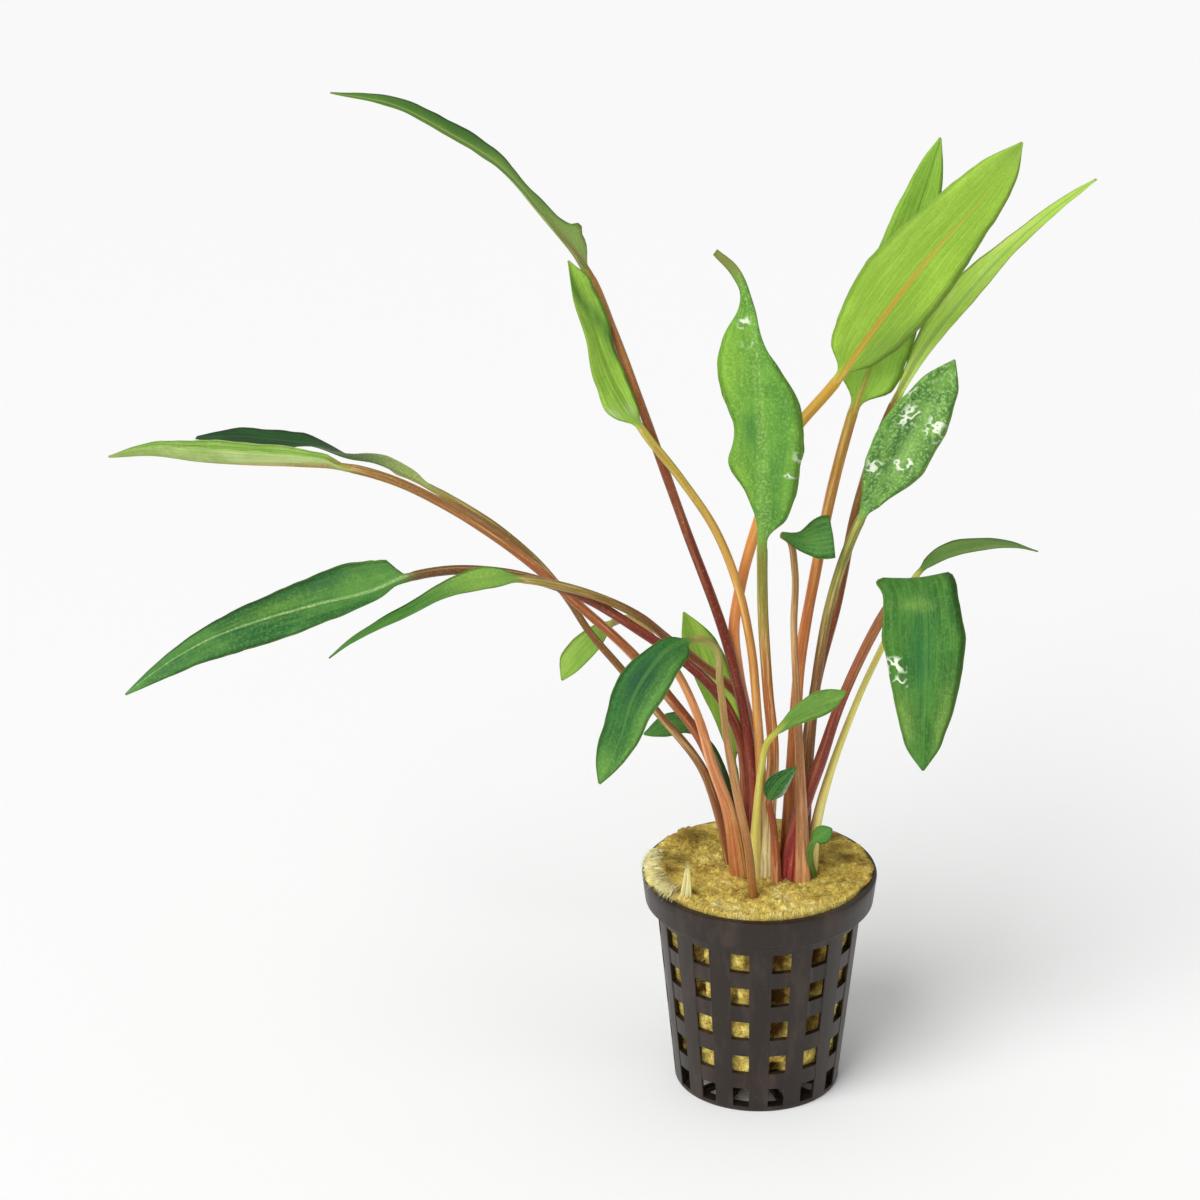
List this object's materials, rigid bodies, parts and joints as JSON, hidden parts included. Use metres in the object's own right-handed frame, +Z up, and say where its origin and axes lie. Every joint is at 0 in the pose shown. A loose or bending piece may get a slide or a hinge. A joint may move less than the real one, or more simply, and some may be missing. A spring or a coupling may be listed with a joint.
{
  "type": "potted cryptocoryne",
  "caption": "Potted cryptocoryne: lance-shaped green leaves on long red-brown petioles, growing from a rock wool plug in a small black net pot.",
  "frame": {"origin": "middle of the underside of the pot's floor", "axes": "+Z up along the pot's axis; the picture is seen from -Y, with +X to the right"},
  "size_m": [0.2288, 0.0862, 0.2378],
  "materials": {
    "pot_plastic": "satin moulded plastic",
    "rock_wool": "damp matted mineral fibre",
    "dark_leaf": "living leaf, soft sheen",
    "mid_leaf": "living leaf, soft sheen",
    "light_leaf": "living leaf, soft sheen",
    "pale_leaf": "living leaf, soft sheen"
  },
  "bodies": {
    "root": {"net_pot": "pot_plastic", "rock_wool": "rock_wool", "tall_arching_leaf": "dark_leaf", "folded_upright_leaf": "light_leaf", "wavy_centre_leaf": "mid_leaf", "broad_upper_leaf": "light_leaf", "upper_rear_leaf": "light_leaf", "slim_right_leaf": "pale_leaf", "mottled_right_leaf": "mid_leaf", "young_folded_leaf": "mid_leaf", "drooping_right_leaf": "dark_leaf", "slim_arching_right_leaf": "mid_leaf", "small_centre_leaf": "mid_leaf", "dark_young_leaf": "dark_leaf", "spoon_leaf": "mid_leaf", "drooping_front_leaf": "dark_leaf", "pale_rear_leaf": "light_leaf", "small_left_leaf": "dark_leaf", "pale_left_leaf": "light_leaf", "long_low_leaf": "dark_leaf", "twisted_low_leaf": "dark_leaf", "long_upper_left_leaf": "pale_leaf", "rear_upper_left_leaf": "pale_leaf"}
  },
  "joints": []
}
